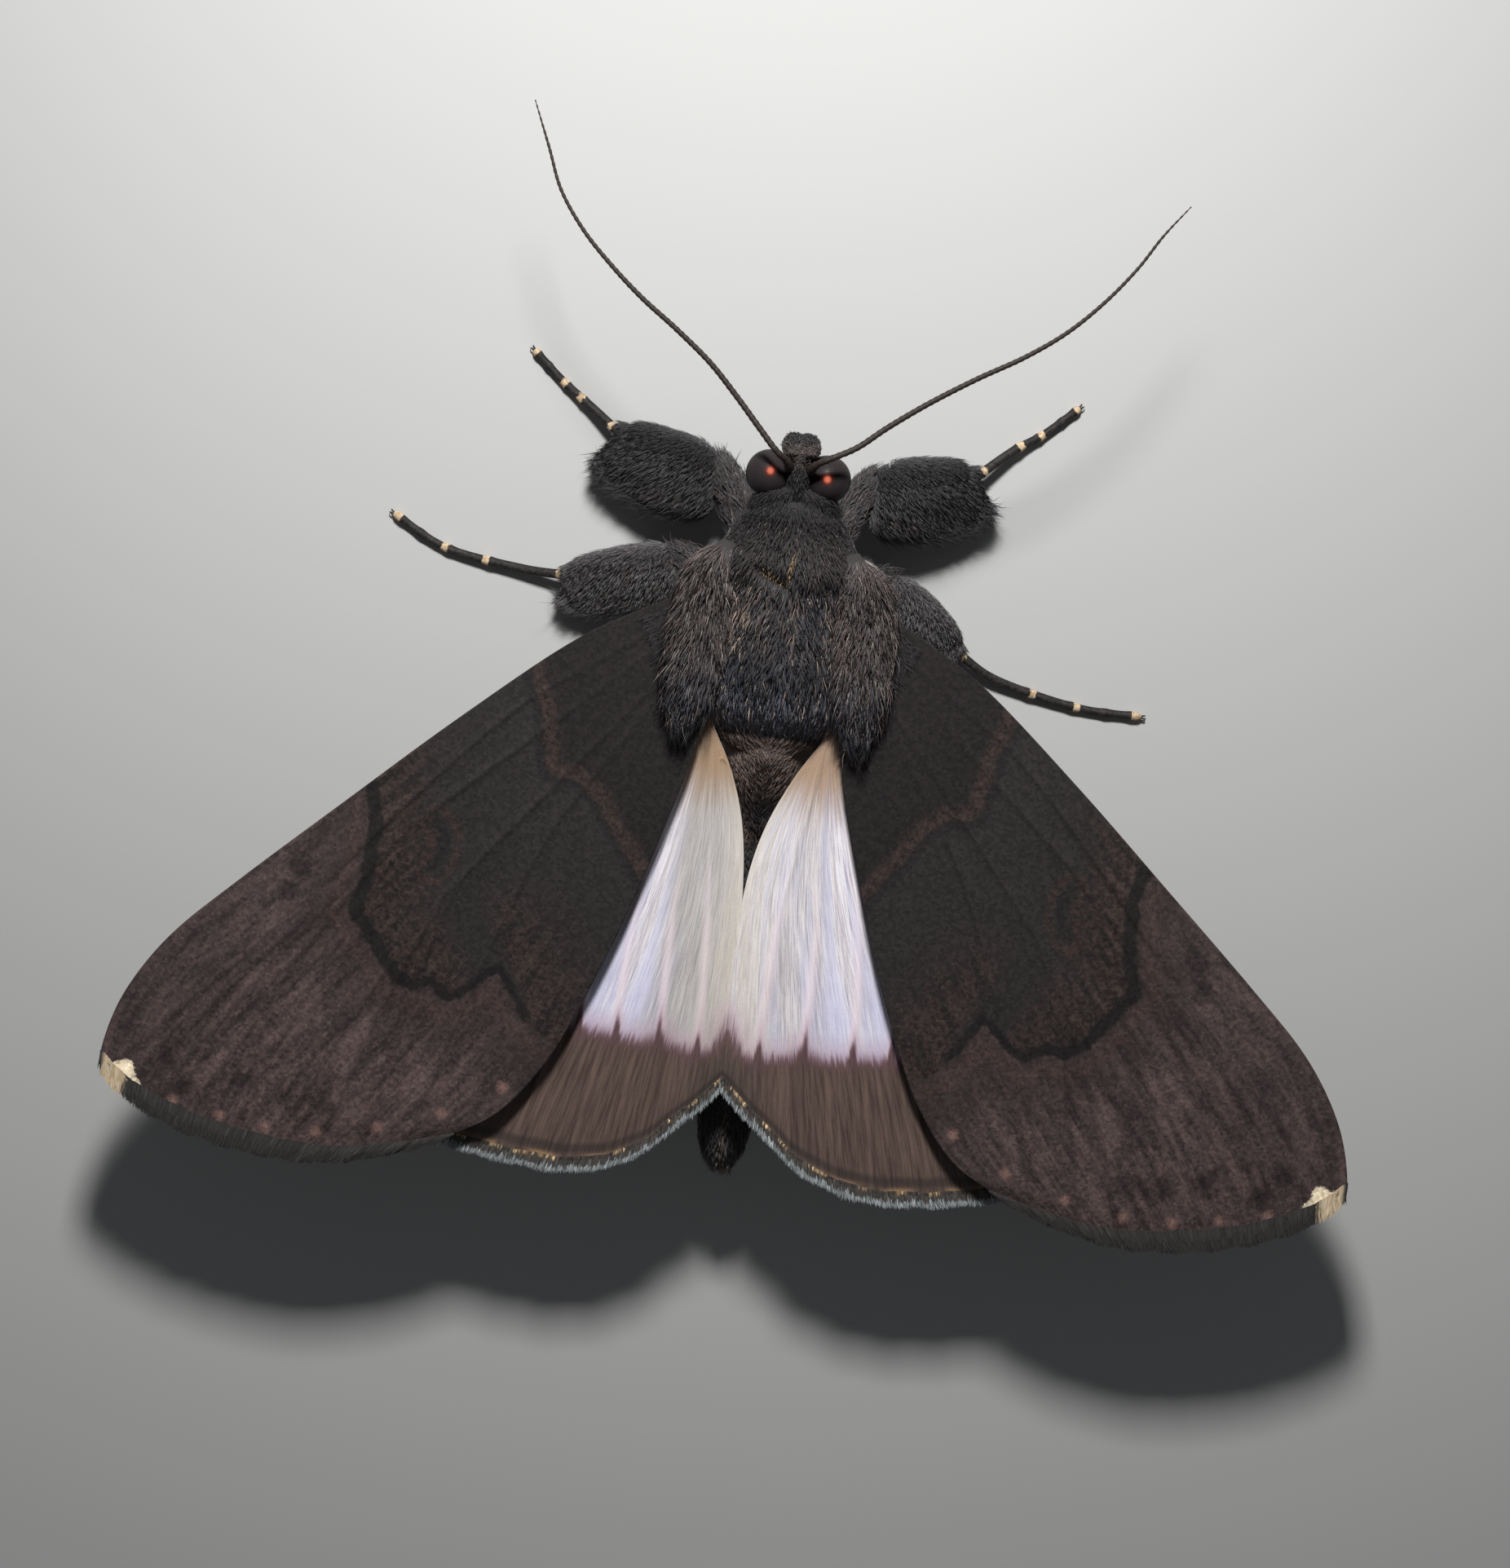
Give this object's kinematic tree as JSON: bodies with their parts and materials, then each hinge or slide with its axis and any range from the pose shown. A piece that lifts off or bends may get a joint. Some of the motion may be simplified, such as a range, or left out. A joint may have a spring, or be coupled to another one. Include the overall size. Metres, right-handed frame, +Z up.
{
  "type": "moth",
  "caption": "Life-size resting owlet moth with dark forewings half spread over pale, brown-bordered hindwings; stands on its feet as a still display model.",
  "frame": {"origin": "centre of the overall box's underside, on the floor that the feet stand on", "axes": "+X to the moth's right, across the wings; +Y to the head and feelers; +Z up from the floor"},
  "size_m": [0.0508, 0.0426, 0.0107],
  "materials": {
    "black_coat": "velvety black hair scales with a faint blue sheen",
    "brown_coat": "matte brown hair scales",
    "forewing": "blackish brown scales, matte, with darker crosslines and a small pale spot near the tip",
    "hindwing": "silky white scales with a broad brown border",
    "eye": "glossy black",
    "horn": "dark brown horn under fine scales, pale rings on the feet"
  },
  "bodies": {
    "root": {"abdomen": "brown_coat", "antenna_left": "horn", "antenna_right": "horn", "collar": "brown_coat", "eye_left": "eye", "eye_right": "eye", "foreleg_left_femur": "black_coat", "foreleg_left_tarsus": "horn", "foreleg_left_tibia": "black_coat", "foreleg_right_femur": "black_coat", "foreleg_right_tarsus": "horn", "foreleg_right_tibia": "black_coat", "forewing_left": "forewing", "forewing_right": "forewing", "head": "black_coat", "hindleg_left_femur": "black_coat", "hindleg_left_tarsus": "horn", "hindleg_left_tibia": "black_coat", "hindleg_right_femur": "black_coat", "hindleg_right_tarsus": "horn", "hindleg_right_tibia": "black_coat", "hindwing_left": "hindwing", "hindwing_right": "hindwing", "midleg_left_femur": "black_coat", "midleg_left_tarsus": "horn", "midleg_left_tibia": "black_coat", "midleg_right_femur": "black_coat", "midleg_right_tarsus": "horn", "midleg_right_tibia": "black_coat", "palp_left": "brown_coat", "palp_right": "brown_coat", "tegula_left": "black_coat", "tegula_right": "black_coat", "thorax": "black_coat"}
  },
  "joints": []
}
